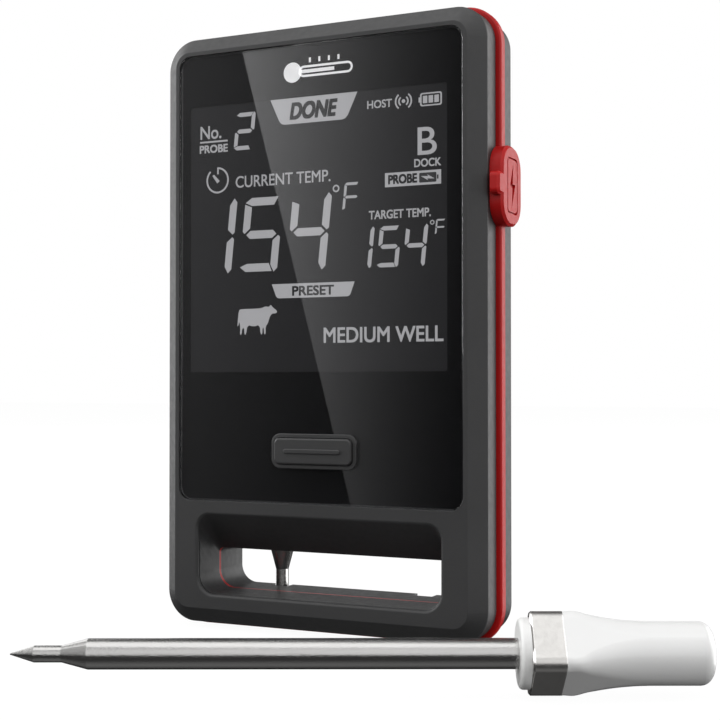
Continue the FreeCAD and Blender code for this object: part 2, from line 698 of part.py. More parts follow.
def housing_screws():
    screws = []
    for x, z in housing_screw_places():
        screws.append(screw(x, z, REAR - SCREW_SEAT, SCREW_LEN, SCREW_HEAD_R, SCREW_R))
    return Part.makeCompound(screws)


def board_screws():
    screws = []
    for x, z in BOARD_SCREWS:
        screws.append(screw(x, z, BOARD_REAR_Y, BOARD_SCREW_LEN, 1.7, BOARD_SCREW_R))
    return Part.makeCompound(screws)


# ---- probe, modelled upright on its own axis with the point at zero ----
def turned(profile):
    """Solid turned about Z from (radius, height) points."""
    points = [Vector(radius, 0, height) for radius, height in profile]
    points.append(points[0])
    return Part.Face(Part.makePolygon(points)).revolve(Vector(0, 0, 0), Vector(0, 0, 1), 360)


def square_bar(half, corner_r, z0, z1):
    bar = centred_plate(0, 0, 2 * half, 2 * half, corner_r, 0, z1 - z0)
    bar.rotate(Vector(0, 0, 0), Vector(1, 0, 0), 90)
    bar.translate(Vector(0, 0, z0))
    return bar


def probe_tip():
    return turned(((0, 0), (POINT_R, 0), (NECK_R, TIP_CONE), (NECK_R, NECK_END),
                   (TUBE_R, TIP_END), (TUBE_BORE_R, TIP_END), (TUBE_BORE_R, TIP_END + 4),
                   (0, TIP_END + 4)))


def probe_tube():
    top = RING_END + STEM_IN_COLLAR
    return turned(((TUBE_BORE_R, TIP_END), (TUBE_R, TIP_END), (TUBE_R, top),
                   (TUBE_BORE_R, top)))


def probe_ring():
    ring = turned(((TUBE_R, TUBE_END), (RING_R, TUBE_END), (RING_R, RING_END),
                   (TUBE_R, RING_END)))
    front_rim = []
    for edge in ring.Edges:
        bounds = edge.BoundBox
        if bounds.XLength > 2 * RING_R - 0.1 and abs(bounds.ZMax - TUBE_END) < 1e-4:
            front_rim.append(edge)
    return ring.makeFillet(0.8, front_rim)


def probe_collar():
    collar = square_bar(COLLAR_HALF, COLLAR_R, RING_END, COLLAR_END)
    front_rim = []
    for edge in collar.Edges:
        bounds = edge.BoundBox
        if bounds.ZMax < RING_END + 1e-4:
            front_rim.append(edge)
    collar = collar.makeChamfer(0.35, front_rim)
    stem_top = RING_END + STEM_IN_COLLAR
    collar = collar.cut(cylinder_z(0, 0, TUBE_R, RING_END - 1, stem_top))
    return collar.cut(cylinder_z(0, 0, HANDLE_BORE_R + 0.5, stem_top, COLLAR_END + 1))


def handle_wire(rise):
    """Outline of the handle above the collar: square at first, easing to a circle."""
    gone = min(max((rise - GRIP_START) / GRIP_EASE, 0.0), 1.0)
    eased = 1 - (1 - gone) ** 2
    half = COLLAR_HALF + (GRIP_R - COLLAR_HALF) * eased
    corner_r = COLLAR_R + (half - 0.05 - COLLAR_R) * eased
    wire = rounded_wire(-half, half, -half, half, corner_r, 0)
    wire.rotate(Vector(0, 0, 0), Vector(1, 0, 0), 90)
    wire.translate(Vector(0, 0, COLLAR_END + rise))
    return wire


def grip_envelope():
    """Room the handle is trimmed to: its end is rounded over."""
    grip = cylinder_z(0, 0, GRIP_R + 0.02, COLLAR_END, PROBE_LEN)
    end_rim = []
    for edge in grip.Edges:
        if edge.BoundBox.ZMin > PROBE_LEN - 1e-4:
            end_rim.append(edge)
    grip = grip.makeFillet(GRIP_END_ROUND, end_rim)
    return grip.fuse(cylinder_z(0, 0, 9.5, COLLAR_END, PROBE_LEN - 4))


def probe_handle():
    """Square where it meets the collar, easing to a round grip with a rounded end."""
    length = PROBE_LEN - COLLAR_END
    rises = (0, 1.2, 2.4, 4.0, 6.0, 8.5, 11.5, 14.0, 16.4, 20.0, 24.0, length)
    handle = Part.makeLoft([handle_wire(rise) for rise in rises], True, False)
    handle = handle.common(grip_envelope())
    bore = cylinder_z(0, 0, HANDLE_BORE_R, COLLAR_END - 1, PROBE_LEN - 2.4)
    return handle.cut(bore).removeSplitter()


def probe_board():
    """Thin sensor strip that runs up the tube."""
    return box(-1.5, 1.5, -0.35, 0.35, TIP_END + 5, RING_END - 22)


def probe_cell():
    cell = cylinder_z(0, 0, 1.9, RING_END - 20, RING_END + 2)
    return cell.makeFillet(0.3, [edge for edge in cell.Edges if edge.BoundBox.XLength > 3])


def probe_antenna():
    """Coil former of the aerial, standing in the handle."""
    rod = cylinder_z(0, 0, 1.6, RING_END + 4, PROBE_LEN - 4)
    base = cylinder_z(0, 0, HANDLE_BORE_R - 0.2, COLLAR_END - 2, COLLAR_END)
    return rod.fuse(base).removeSplitter()


def place_docked(shape):
    placed = shape.copy()
    placed.translate(Vector(-DOCK_X, DOCK_Y, DOCKED_TIP_Z))
    return placed


def place_loose(shape):
    """Lay the probe down: roll about its axis, tip it level, then turn and move it."""
    roll = Rotation(Vector(0, 0, 1), LOOSE_ROLL)
    level = Rotation(Vector(0, 1, 0), 90)
    yaw = Rotation(Vector(0, 0, 1), LOOSE_YAW)
    placed = shape.copy()
    placed.Placement = FreeCAD.Placement(LOOSE_TIP, yaw.multiply(level).multiply(roll))
    return placed


DOCK_PARTS = {
    "front_housing": front_housing,
    "rear_housing": rear_housing,
    "seal_band": seal_band,
    "display_window": display_window,
    "window_gasket": window_gasket,
    "lcd_panel": lcd_panel,
    "lcd_frame": lcd_frame,
    "light_guide": light_guide,
    "lcd_ribbon": lcd_ribbon,
    "main_board": main_board,
    "radio_shield": radio_shield,
    "buzzer": buzzer,
    "button_bezel": button_bezel,
    "button_cap": button_cap,
    "switch_plunger": switch_plunger,
    "button_switch": button_switch,
    "usb_socket": usb_socket,
    "port_cover": port_cover,
    "battery_cell": battery_cell,
    "battery_pad": battery_pad,
    "charge_pins": charge_pins,
    "dock_magnets": dock_magnets,
    "holding_magnets": holding_magnets,
    "magnet_yoke": magnet_yoke,
    "grip_pad": grip_pad,
    "housing_screws": housing_screws,
    "board_screws": board_screws,
}

PROBE_PARTS = {
    "tip": probe_tip,
    "tube": probe_tube,
    "seal_ring": probe_ring,
    "collar": probe_collar,
    "handle": probe_handle,
    "sensor_board": probe_board,
    "power_cell": probe_cell,
    "antenna": probe_antenna,
}

for name, make in DOCK_PARTS.items():
    save(make(), name)

for name, make in PROBE_PARTS.items():
    piece = make()
    save(place_docked(piece), "docked_probe_" + name)
    save(place_loose(piece), "loose_probe_" + name)
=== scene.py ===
import json
import math
import bpy
from mathutils import Matrix, Vector

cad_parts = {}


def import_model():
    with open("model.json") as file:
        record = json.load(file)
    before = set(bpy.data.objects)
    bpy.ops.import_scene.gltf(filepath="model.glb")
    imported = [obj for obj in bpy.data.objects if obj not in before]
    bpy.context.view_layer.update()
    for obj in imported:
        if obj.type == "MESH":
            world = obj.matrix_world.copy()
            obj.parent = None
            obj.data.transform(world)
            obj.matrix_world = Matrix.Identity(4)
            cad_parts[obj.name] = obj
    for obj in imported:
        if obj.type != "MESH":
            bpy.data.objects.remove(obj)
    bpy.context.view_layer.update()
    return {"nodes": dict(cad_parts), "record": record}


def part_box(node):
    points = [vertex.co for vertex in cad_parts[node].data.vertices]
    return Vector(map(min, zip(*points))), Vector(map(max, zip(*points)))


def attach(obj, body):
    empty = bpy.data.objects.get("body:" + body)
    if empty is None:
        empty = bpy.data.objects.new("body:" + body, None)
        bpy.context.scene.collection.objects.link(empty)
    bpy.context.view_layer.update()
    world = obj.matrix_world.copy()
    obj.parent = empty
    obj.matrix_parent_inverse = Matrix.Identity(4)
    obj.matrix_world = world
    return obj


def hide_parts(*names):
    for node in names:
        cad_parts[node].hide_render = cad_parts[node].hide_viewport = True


# Looks of a wireless meat thermometer: display dock with one docked and one loose probe.
# Metres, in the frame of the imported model: X to the display's right, Y to the rear, Z up.

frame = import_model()

MM = 0.001
NODES = frame["nodes"]

# ---- places read from the frame, and the loose probe's turn on the table ----
LCD_LOW, LCD_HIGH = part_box("lcd_panel")
LCD_X = (LCD_LOW.x + LCD_HIGH.x) / 2
LCD_Z = (LCD_LOW.z + LCD_HIGH.z) / 2
LCD_FACE_Y = LCD_LOW.y
WINDOW_LOW, WINDOW_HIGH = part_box("display_window")
BEZEL_LOW, BEZEL_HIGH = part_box("button_bezel")
LOOSE_YAW = math.radians(26.3)

# ---- camera and light ----
CAMERA_AT = Vector((0.1444, -0.2819, 0.0569))
CAMERA_YAW = math.radians(26.0)
CAMERA_PITCH = math.radians(0.97)
CAMERA_LENS = 69.1

# ---- printed layers in front of the display's glass ----
GLYPH_THICK = 0.05 * MM
GLASS_GAP = 0.02 * MM


def new_object(name, data):
    """Object that shows this data, linked into the scene."""
    obj = bpy.data.objects.new(name, data)
    bpy.context.scene.collection.objects.link(obj)
    return obj


def camera():
    data = bpy.data.cameras.new("camera")
    data.lens = CAMERA_LENS
    data.sensor_width = 36.0
    data.clip_start = 0.01
    data.clip_end = 50.0
    obj = new_object("camera", data)
    obj.location = CAMERA_AT
    obj.rotation_euler = (math.pi / 2 + CAMERA_PITCH, 0.0, CAMERA_YAW)
    bpy.context.scene.camera = obj


def softbox(name, position, target, width, height, radiance):
    """Rectangular studio light of a given brightness, facing a point."""
    data = bpy.data.lights.new(name, "AREA")
    data.shape = "RECTANGLE"
    data.size = width
    data.size_y = height
    data.energy = radiance * math.pi * width * height
    obj = new_object(name, data)
    obj.location = position
    aim = Vector(target) - Vector(position)
    obj.rotation_euler = aim.to_track_quat("-Z", "Y").to_euler()
    obj.visible_camera = False


def lights():
    """Large soft lights on all sides, none where the window would mirror it to the camera."""
    middle = (0.0, -0.02, 0.06)
    above_middle = (0.0, -0.02, 0.25)
    softbox("light_right", (0.95, 0.75, 0.25), middle, 1.5, 1.4, 2.7)
    softbox("light_left", (-1.2, 0.40, 0.45), middle, 1.2, 1.3, 1.6)
    softbox("light_fill", (-1.45, -0.60, 0.6), middle, 1.0, 1.0, 3.5)
    softbox("light_top", (-0.1, -0.30, 1.3), middle, 1.6, 0.85, 1.25)
    softbox("light_front", (0.95, -1.25, 0.75), above_middle, 1.9, 1.5, 0.6)
    softbox("light_back", (-0.4, 1.3, 0.25), middle, 1.6, 0.5, 0.55)


# ---- node graphs ----
class Graph:
    """Builds one material's nodes; every method returns the socket it makes."""

    def __init__(self, name):
        self.material = bpy.data.materials.new(name)
        self.material.use_nodes = True
        self.tree = self.material.node_tree
        self.shader = self.tree.nodes["Principled BSDF"]
        self.place = self.add("ShaderNodeTexCoord").outputs["Object"]

    def add(self, kind, **settings):
        node = self.tree.nodes.new(kind)
        for key, value in settings.items():
            setattr(node, key, value)
        return node

    def feed(self, socket, value):
        if isinstance(value, bpy.types.NodeSocket):
            self.tree.links.new(value, socket)
        else:
            socket.default_value = value

    def set(self, **values):
        """Shader inputs by name, with underscores for spaces."""
        for key, value in values.items():
            self.feed(self.shader.inputs[key.replace("_", " ")], value)

    def math(self, operation, first, second=0.0):
        node = self.add("ShaderNodeMath", operation=operation)
        self.feed(node.inputs[0], first)
        self.feed(node.inputs[1], second)
        return node.outputs[0]

    def line(self, value, slope, start):
        """slope times the value, plus start."""
        return self.math("ADD", self.math("MULTIPLY", value, slope), start)

    def stretched(self, factors, place=None):
        node = self.add("ShaderNodeVectorMath", operation="MULTIPLY")
        self.feed(node.inputs[0], place or self.place)
        node.inputs[1].default_value = factors
        return node.outputs[0]

    def turned(self, axis, angle):
        """Coordinates turned about one axis of the frame."""
        node = self.add("ShaderNodeVectorRotate", rotation_type=axis)
        self.feed(node.inputs["Vector"], self.place)
        node.inputs["Angle"].default_value = angle
        return node.outputs[0]

    def noise(self, scale, detail=2.0, place=None):
        node = self.add("ShaderNodeTexNoise")
        self.feed(node.inputs["Vector"], place or self.place)
        node.inputs["Scale"].default_value = scale
        node.inputs["Detail"].default_value = detail
        return node.outputs["Fac"]

    def span(self, value, low, high, start=0.3, end=0.7):
        """value from start to end mapped to low to high."""
        node = self.add("ShaderNodeMapRange")
        self.feed(node.inputs["Value"], value)
        node.inputs["From Min"].default_value = start
        node.inputs["From Max"].default_value = end
        node.inputs["To Min"].default_value = low
        node.inputs["To Max"].default_value = high
        return node.outputs[0]

    def blend(self, factor, first, second):
        node = self.add("ShaderNodeMix", data_type="RGBA")
        self.feed(node.inputs["Factor"], factor)
        self.feed(node.inputs["A"], rgba(first))
        self.feed(node.inputs["B"], rgba(second))
        return node.outputs["Result"]

    def bump(self, height, distance, strength=1.0, under=None):
        node = self.add("ShaderNodeBump")
        self.feed(node.inputs["Height"], height)
        node.inputs["Distance"].default_value = distance
        node.inputs["Strength"].default_value = strength
        if under is not None:
            self.feed(node.inputs["Normal"], under)
        return node.outputs[0]

    def edges(self, radius):
        """One on convex and concave edges, nothing on flat faces."""
        bevel = self.add("ShaderNodeBevel", samples=4)
        bevel.inputs["Radius"].default_value = radius
        geometry = self.add("ShaderNodeNewGeometry")
        dot = self.add("ShaderNodeVectorMath", operation="DOT_PRODUCT")
        self.feed(dot.inputs[0], bevel.outputs[0])
        self.feed(dot.inputs[1], geometry.outputs["Normal"])
        return self.span(dot.outputs["Value"], 1.0, 0.0, 0.80, 0.99)


def rgba(colour):
    if isinstance(colour, bpy.types.NodeSocket) or len(colour) == 4:
        return colour
    return (*colour, 1.0)


class RoomGraph(Graph):
    """Graph of the light that comes from all round; its place is the direction looked in."""

    def __init__(self, name):
        self.world = bpy.data.worlds.new(name)
        self.world.use_nodes = True
        self.tree = self.world.node_tree
        self.shader = self.tree.nodes["Background"]
        self.place = self.add("ShaderNodeTexCoord").outputs["Generated"]


def world():
    """White to the camera; to the object a bright room, darker behind and below."""
    graph = RoomGraph("studio")
    split = graph.add("ShaderNodeSeparateXYZ")
    graph.feed(split.inputs[0], graph.place)
    above = graph.span(split.outputs["Z"], 0.0, 0.60, -0.01, 0.02)
    under = graph.span(split.outputs["Z"], 0.23, 0.055, -1.0, -0.65)
    ahead = graph.span(split.outputs["Y"], 1.0, 0.20, -0.1, 0.5)
    room = graph.math("ADD", above, under)
    graph.set(Color=(1, 1, 1, 1), Strength=graph.math("MULTIPLY", room, ahead))
    white = graph.add("ShaderNodeBackground")
    white.inputs["Color"].default_value = (1, 1, 1, 1)
    seen = graph.add("ShaderNodeLightPath")
    mix = graph.add("ShaderNodeMixShader")
    graph.feed(mix.inputs[0], seen.outputs["Is Camera Ray"])
    graph.feed(mix.inputs[1], graph.shader.outputs[0])
    graph.feed(mix.inputs[2], white.outputs[0])
    graph.feed(graph.tree.nodes["World Output"].inputs["Surface"], mix.outputs[0])
    bpy.context.scene.world = graph.world
    bpy.context.scene.view_settings.view_transform = "Standard"


# ---- materials, one function for each of the record's slots that shows a finish of its own ----
def moulded(name, dark, light, rough, grain_scale=3000.0, grain_depth=0.00002, worn=None):
    """Matt moulded plastic or rubber: cloudy tone, fine spark-eroded grain, edges rubbed smoother."""
    graph = Graph(name)
    tone = graph.blend(graph.span(graph.noise(45.0, 3.0), 0.0, 1.0), dark, light)
    grain = graph.noise(grain_scale, 3.0)
    gloss = graph.span(graph.noise(grain_scale / 4, 2.0), rough - 0.05, rough + 0.05)
    if worn is not None:
        wear_and_highlight = graph.math("MULTIPLY", graph.edges(0.0004), graph.span(graph.noise(400.0), 0.3, 1.0))
        tone = graph.blend(graph.math("MULTIPLY", wear_and_highlight, 0.5), tone, worn)
        gloss = graph.math("SUBTRACT", gloss, graph.math("MULTIPLY", wear_and_highlight, 0.1))
    graph.set(Base_Color=tone, Roughness=gloss, Normal=graph.bump(grain, grain_depth))
    return graph


def housing_plastic():
    return moulded("housing_plastic", (0.034, 0.034, 0.035), (0.041, 0.041, 0.042), 0.50,
                   worn=(0.080, 0.080, 0.082)).material


def button_plastic():
    return moulded("button_plastic", (0.036, 0.036, 0.037), (0.043, 0.043, 0.044), 0.45,
                   grain_scale=4000.0, worn=(0.060, 0.060, 0.062)).material


def red_elastomer():
    graph = moulded("red_elastomer", (0.43, 0.004, 0.004), (0.49, 0.006, 0.006), 0.42,
                    grain_scale=2600.0, grain_depth=0.00001, worn=(0.66, 0.02, 0.02))
    graph.set(Specular_IOR_Level=0.32)
    return graph.material


def pad_rubber():
    """Black grip rubber with a moulded diamond pattern."""
    graph = moulded("pad_rubber", (0.018, 0.018, 0.019), (0.026, 0.026, 0.027), 0.70)
    ribs = None
    for angle in (math.radians(45), math.radians(-45)):
        wave = graph.add("ShaderNodeTexWave", bands_direction="X", wave_profile="TRI")
        graph.feed(wave.inputs["Vector"], graph.turned("Y_AXIS", angle))
        wave.inputs["Scale"].default_value = 180.0
        line = graph.span(wave.outputs["Fac"], 0.0, 1.0, 0.10, 0.35)
        ribs = line if ribs is None else graph.math("MULTIPLY", ribs, line)
    grain = graph.bump(graph.noise(3500.0), 0.00002)
    graph.set(Normal=graph.bump(ribs, 0.0003, 0.9, grain))
    return graph.material


def window_acrylic():
    """Smoked clear sheet with a trace of wiping marks in its polish."""
    graph = Graph("window_acrylic")
    wipe = graph.noise(35.0, 4.0, graph.stretched((1.0, 1.0, 0.25)))
    graph.set(Base_Color=(0.80, 0.80, 0.82, 1.0), Roughness=graph.span(wipe, 0.0, 0.006),
              IOR=1.49, Transmission_Weight=1.0)
    return graph.material


def black_film():
    graph = Graph("black_film")
    tone = graph.blend(graph.noise(60.0, 3.0), (0.0035, 0.0035, 0.004), (0.005, 0.005, 0.0055))
    graph.set(Base_Color=tone, Roughness=graph.span(graph.noise(2500.0), 0.5, 0.6),
              Specular_IOR_Level=0.08)
    return graph.material


def lcd_glass():
    """Dark negative display with a faint leak of its backlight."""
    graph = Graph("lcd_glass")
    tone = graph.blend(graph.noise(80.0, 2.0), (0.004, 0.004, 0.0045), (0.006, 0.006, 0.0065))
    leak = graph.blend(graph.noise(28.0, 1.0), (0.0125, 0.0125, 0.0130), (0.0165, 0.0165, 0.0170))
    graph.set(Base_Color=tone, Roughness=graph.span(graph.noise(1800.0), 0.35, 0.45),
              Specular_IOR_Level=0.1, Emission_Color=leak, Emission_Strength=1.0)
    return graph.material


def lit_segment():
    """Display segment that the backlight shines through, a little uneven."""
    graph = Graph("lit_segment")
    glow = graph.blend(graph.noise(50.0, 2.0), (0.37, 0.37, 0.375), (0.44, 0.44, 0.445))
    graph.set(Base_Color=(0.05, 0.05, 0.05, 1.0), Emission_Color=glow, Emission_Strength=1.0,
              Roughness=graph.span(graph.noise(1500.0), 0.5, 0.6))
    return graph.material


def dark_segment():
    graph = Graph("dark_segment")
    glow = graph.blend(graph.noise(50.0, 2.0), (0.014, 0.014, 0.015), (0.020, 0.020, 0.021))
    graph.set(Base_Color=(0.01, 0.01, 0.01, 1.0), Emission_Color=glow, Emission_Strength=1.0,
              Roughness=graph.span(graph.noise(1500.0), 0.5, 0.6))
    return graph.material


def white_print_painted_glow():
    graph = Graph("white_print_painted_glow")
    tone = graph.blend(graph.noise(900.0, 3.0), (0.78, 0.78, 0.78), (0.88, 0.88, 0.88))
    # painted glow: the white print emits light of its own, though it is no lamp
    graph.set(Base_Color=tone, Roughness=graph.span(graph.noise(2000.0), 0.45, 0.6),
              Emission_Color=(0.8, 0.8, 0.8, 1.0), Emission_Strength=0.45)
    return graph.material


def along_axis(graph, upright):
    """Coordinates turned so that a probe's own length runs along X."""
    if upright:
        return graph.turned("Y_AXIS", math.radians(90))
    return graph.turned("Z_AXIS", -LOOSE_YAW)


def probe_steel(upright):
    """Fine ground stainless steel: short scratches along the stem over a soft grain."""
    graph = Graph("probe_steel_upright" if upright else "probe_steel_lying")
    axis = along_axis(graph, upright)
    streak = graph.noise(1.0, 4.0, graph.stretched((300.0, 6000.0, 6000.0), axis))
    grain = graph.noise(3600.0, 4.0)
    tone = graph.blend(streak, (0.41, 0.406, 0.399), (0.48, 0.476, 0.468))
    rough = graph.span(graph.noise(1.0, 3.0, graph.stretched((120.0, 2500.0, 2500.0), axis)),
                       0.15, 0.22)
    fine = graph.bump(streak, 0.000005)
    graph.set(Base_Color=tone, Metallic=1.0, Roughness=rough,
              Normal=graph.bump(grain, 0.00004, 1.0, fine))
    return graph.material


def collar_steel():
    """Bead blasted stainless steel with rubbed, smoother edges, whitened to near white as a painted
    highlight.
    """
    graph = Graph("collar_steel")
    wear_and_highlight = graph.edges(0.0004)
    tone = graph.blend(graph.noise(1200.0, 3.0), (0.50, 0.49, 0.475), (0.56, 0.55, 0.535))
    # painted highlight: the rubbed edges are blended to near white, brighter than worn steel would be
    tone = graph.blend(wear_and_highlight, tone, (0.98, 0.97, 0.96))
    rough = graph.math("SUBTRACT", graph.span(graph.noise(900.0), 0.28, 0.36),
                       graph.math("MULTIPLY", wear_and_highlight, 0.08))
    graph.set(Base_Color=tone, Metallic=1.0, Roughness=rough,
              Normal=graph.bump(graph.noise(3000.0, 4.0), 0.000016))
    return graph.material


def ring_polymer():
    return moulded("ring_polymer", (0.88, 0.88, 0.87), (0.92, 0.92, 0.91), 0.40,
                   grain_scale=2200.0, grain_depth=0.000006).material


def white_ceramic():
    """Fired white ceramic under a clear glaze, with a faint ripple in the glaze."""
    graph = Graph("white_ceramic")
    tone = graph.blend(graph.noise(120.0, 4.0), (0.88, 0.88, 0.875), (0.92, 0.92, 0.915))
    ripple = graph.noise(260.0, 2.0)
    graph.set(Base_Color=tone, Roughness=graph.span(graph.noise(700.0, 2.0), 0.30, 0.38),
              Normal=graph.bump(ripple, 0.000008), Coat_Weight=0.6, Coat_Roughness=0.10,
              Coat_IOR=1.5)
    return graph.material


def metal(name, dark, light, rough):
    """Plated or plain metal with a fine drawn grain."""
    graph = Graph(name)
    tone = graph.blend(graph.noise(187.5, 4.0), dark, light)
    grain = graph.noise(1500.0, 3.0, graph.stretched((1.0, 1.0, 0.15)))
    graph.set(Base_Color=tone, Metallic=1.0, Roughness=graph.span(grain, rough - 0.06, rough + 0.06),
              Normal=graph.bump(grain, 0.000008))
    return graph.material


def circuit_board():
    """Green solder mask over faint copper tracks."""
    graph = Graph("circuit_board")
    cells = graph.add("ShaderNodeTexVoronoi", feature="DISTANCE_TO_EDGE", distance="MANHATTAN")
    graph.feed(cells.inputs["Vector"], graph.place)
    cells.inputs["Scale"].default_value = 260.0
    track = graph.span(cells.outputs["Distance"], 1.0, 0.0, 0.05, 0.09)
    mask = graph.blend(graph.noise(90.0), (0.010, 0.075, 0.030), (0.014, 0.100, 0.040))
    tone = graph.blend(graph.math("MULTIPLY", track, 0.6), mask, (0.05, 0.20, 0.08))
    graph.set(Base_Color=tone, Roughness=graph.span(graph.noise(1200.0), 0.28, 0.38),
              Normal=graph.bump(track, 0.00004))
    return graph.material


def guide_acrylic():
    graph = Graph("guide_acrylic")
    tone = graph.blend(graph.noise(150.0), (0.78, 0.79, 0.80), (0.86, 0.87, 0.88))
    graph.set(Base_Color=tone, Roughness=graph.span(graph.noise(1500.0), 0.35, 0.5),
              Transmission_Weight=0.4)
    return graph.material


SLOT_MATERIALS = {
    "housing_plastic": housing_plastic(),
    "button_plastic": button_plastic(),
    "red_elastomer": red_elastomer(),
    "pad_rubber": pad_rubber(),
    "window_acrylic": window_acrylic(),
    "black_film": black_film(),
    "lcd_glass": lcd_glass(),
    "collar_steel": collar_steel(),
    "ring_polymer": ring_polymer(),
    "white_ceramic": white_ceramic(),
    "circuit_board": circuit_board(),
    "guide_acrylic": guide_acrylic(),
    "frame_plastic": moulded("frame_plastic", (0.62, 0.62, 0.61), (0.70, 0.70, 0.69), 0.5).material,
    "black_plastic": moulded("black_plastic", (0.014, 0.014, 0.015), (0.02, 0.02, 0.021),
                             0.5).material,
    "foam_rubber": moulded("foam_rubber", (0.03, 0.03, 0.03), (0.05, 0.05, 0.05), 0.9,
                           grain_scale=900.0, grain_depth=0.0002).material,
    "ribbon_film": moulded("ribbon_film", (0.42, 0.17, 0.03), (0.50, 0.22, 0.05), 0.35).material,
    "tinned_steel": metal("tinned_steel", (0.60, 0.60, 0.60), (0.68, 0.68, 0.67), 0.30),
    "cell_foil": metal("cell_foil", (0.55, 0.56, 0.58), (0.66, 0.67, 0.68), 0.38),
    "gilt_brass": metal("gilt_brass", (0.80, 0.56, 0.22), (0.88, 0.65, 0.30), 0.20),
    "magnet_nickel": metal("magnet_nickel", (0.55, 0.54, 0.52), (0.64, 0.63, 0.61), 0.18),
    "zinc_steel": metal("zinc_steel", (0.52, 0.53, 0.55), (0.62, 0.63, 0.66), 0.36),
    "screw_steel": metal("screw_steel", (0.07, 0.07, 0.072), (0.11, 0.11, 0.112), 0.36),
    "antenna_copper": metal("antenna_copper", (0.66, 0.32, 0.17), (0.78, 0.42, 0.25), 0.32),
}
PROBE_STEEL = {True: probe_steel(True), False: probe_steel(False)}
LIT = lit_segment()
DARK = dark_segment()
PAINTED_GLOW_PRINT = white_print_painted_glow()


def dress_nodes():
    """Gives every node of the frame its slot's material."""
    for row in frame["record"]["subparts"]:
        node = NODES[row["node"]]
        slot = row["material_slot"]
        if slot == "probe_steel":
            material = PROBE_STEEL[row["node"].startswith("docked")]
        else:
            material = SLOT_MATERIALS[slot]
        for place in node.material_slots:
            place.material = material


# ---- flat shapes on the display, in millimetres from the middle of its glass ----
def filled_curve(loops, half_thick):
    """Closed polygons filled in the XY plane; one inside another is a hole."""
    data = bpy.data.curves.new("filled_curve", "CURVE")
    data.dimensions = "2D"
    data.fill_mode = "BOTH"
    data.extrude = half_thick
    for loop in loops:
        spline = data.splines.new("POLY")
        spline.points.add(len(loop) - 1)
        for point, (x, y) in zip(spline.points, loop):
            point.co = (x, y, 0.0, 1.0)
        spline.use_cyclic_u = True
    return data


def curve_mesh(data):
    """Mesh of a curve or text, whose own data is removed."""
    holder = new_object("holder", data)
    bpy.context.view_layer.update()
    mesh = bpy.data.meshes.new_from_object(holder.evaluated_get(
        bpy.context.evaluated_depsgraph_get()))
    bpy.data.objects.remove(holder)
    bpy.data.curves.remove(data)
    return mesh


class Sheet:
    """Collects flat shapes that stand in front of the display and makes one piece of them."""

    def __init__(self):
        self.points = []
        self.faces = []

    def take(self, mesh, matrix):
        start = len(self.points)
        for vertex in mesh.vertices:
            self.points.append(matrix @ vertex.co)
        for face in mesh.polygons:
            self.faces.append([start + index for index in face.vertices])

    def outline(self, *loops):
        mesh = curve_mesh(filled_curve(loops, 0.5))
        self.take(mesh, Matrix.Identity(4))
        bpy.data.meshes.remove(mesh)

    def text(self, words, x0, x1, z0, z1, bold=0.0, slant=0.0):
        """Lettering that fills a box; bold thickens each stroke by that many millimetres."""
        data = bpy.data.curves.new("words", "FONT")
        data.body = words
        data.extrude = 0.5
        data.shear = slant
        data.resolution_u = 6
        mesh = curve_mesh(data)
        xs = [vertex.co.x for vertex in mesh.vertices]
        ys = [vertex.co.y for vertex in mesh.vertices]
        wide = (x1 - x0 - bold) / (max(xs) - min(xs))
        tall = (z1 - z0 - bold) / (max(ys) - min(ys))
        corner_x = x0 - min(xs) * wide
        corner_z = z0 - min(ys) * tall
        for across, up in ((0.0, 0.0), (bold, 0.0), (0.0, bold), (bold, bold)):
            self.take(mesh, Matrix(((wide, 0, 0, corner_x + across), (0, tall, 0, corner_z + up),
                                    (0, 0, 1, 0), (0, 0, 0, 1))))
        bpy.data.meshes.remove(mesh)

    def piece(self, name, material, front_y):
        """One piece whose front face stands at front_y."""
        points = []
        for point in self.points:
            points.append((LCD_X + point.x * MM, front_y + (0.5 - point.z) * GLYPH_THICK,
                           LCD_Z + point.y * MM))
        mesh = bpy.data.meshes.new(name)
        mesh.from_pydata(points, [], self.faces)
        mesh.materials.append(material)
        obj = new_object(name, mesh)
        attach(obj, "dock")

    def layer(self, name, material, level):
        """Piece printed on the display, level by level towards the window."""
        self.piece(name, material, LCD_FACE_Y - GLASS_GAP - level * GLYPH_THICK)


SEGMENTS = {"1": "bc", "2": "abged", "4": "fgbc", "5": "afgcd", "F": "afge"}
SEGMENT_SLANT = math.tan(math.radians(6.0))


def segment_outlines(wide, tall, bar, gap):
    """The seven bars of an upright digit, keyed a to g from the top clockwise."""
    half = tall / 2
    right = wide - bar
    shapes = {
        "a": ((0.9 * bar, tall), (wide - 0.73 * bar, tall), (wide - 1.25 * bar, tall - bar),
              (1.02 * bar, tall - bar), (0.05 * bar, tall - 0.60 * bar)),
        "b": ((right, tall - 0.78 * bar), (wide - 0.45 * bar, tall + 0.08 * bar),
              (wide, tall - 0.40 * bar), (wide, half + 0.25 * bar + gap),
              (wide - 0.28 * bar, half + gap), (right, half + 0.62 * bar + gap)),
        "f": ((0.0, tall - 0.62 * bar - gap), (bar, tall - bar - gap),
              (bar, half + 0.62 * bar + gap), (0.28 * bar, half + gap),
              (0.0, half + 0.25 * bar + gap)),
        "g": ((0.55 * bar, half), (1.1 * bar, half + 0.5 * bar), (right - 0.1 * bar, half + 0.5 * bar),
              (wide - 0.55 * bar, half), (right - 0.1 * bar, half - 0.5 * bar),
              (1.1 * bar, half - 0.5 * bar)),
    }
    for upper, lower in (("a", "d"), ("b", "c"), ("f", "e")):
        shapes[lower] = tuple((x, tall - z) for x, z in reversed(shapes[upper]))
    return shapes


def digit(sheet, figure, x0, z0, wide, tall, bar):
    """Seven-segment figure whose foot starts at x0, leaning to the right."""
    shapes = segment_outlines(wide, tall, bar, 0.17 * bar)
    for key in SEGMENTS[figure]:
        sheet.outline([(x0 + x + z * SEGMENT_SLANT, z0 + z) for x, z in shapes[key]])


